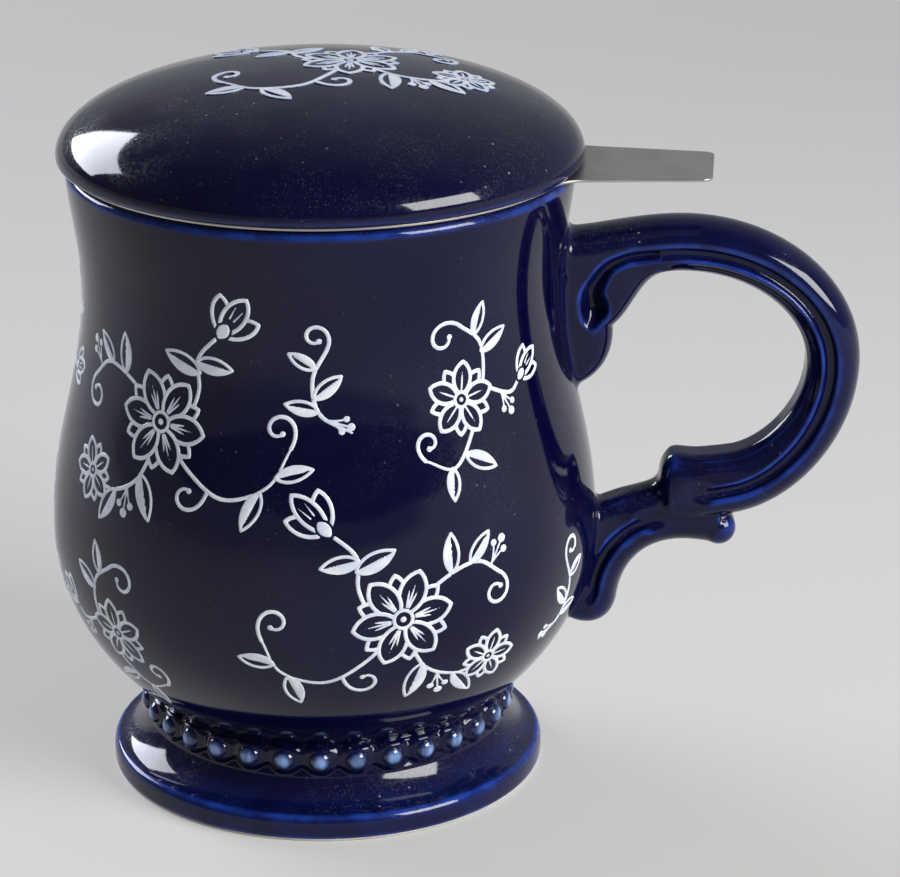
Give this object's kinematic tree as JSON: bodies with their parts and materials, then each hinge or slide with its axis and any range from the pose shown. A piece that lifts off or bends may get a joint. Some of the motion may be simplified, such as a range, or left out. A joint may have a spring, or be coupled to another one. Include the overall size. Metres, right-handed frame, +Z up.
{
  "type": "lidded tea mug with infuser",
  "caption": "Waisted ceramic tea mug on a beaded pedestal foot, with a scrolled loop handle, a loose domed lid and a lift-out perforated steel infuser with a flat finger tab.",
  "frame": {"origin": "middle of the foot's stand ring, on the plane the mug stands on", "axes": "+Z up along the mug's axis, +X towards the handle, -Y the pictured side"},
  "size_m": [0.1471, 0.0996, 0.1323],
  "materials": {
    "cobalt_glaze": "glossy dark cobalt glaze that breaks to a lighter blue on edges",
    "bead_glaze": "glossy cobalt glaze, thin and lighter over the raised beads",
    "white_slip": "white line decoration under a clear glaze",
    "bare_clay": "pale unglazed stand ring",
    "satin_steel": "satin stainless steel sheet"
  },
  "bodies": {
    "mug": {"mug_bowl": "cobalt_glaze", "bead_band": "bead_glaze", "mug_foot": "cobalt_glaze", "handle": "cobalt_glaze"},
    "infuser": {"infuser_rim": "satin_steel", "infuser_collar": "satin_steel", "infuser_wall": "satin_steel", "infuser_base": "satin_steel"},
    "lid": {"lid_dome": "cobalt_glaze", "lid_ring": "cobalt_glaze"}
  },
  "joints": [
    {"name": "infuser_lift", "type": "slide", "parent": "mug", "child": "infuser", "axis": [0, 0, 1], "range_m": [0, 0.09]},
    {"name": "lid_lift", "type": "slide", "parent": "infuser", "child": "lid", "axis": [0, 0, 1], "range_m": [0, 0.05]}
  ]
}
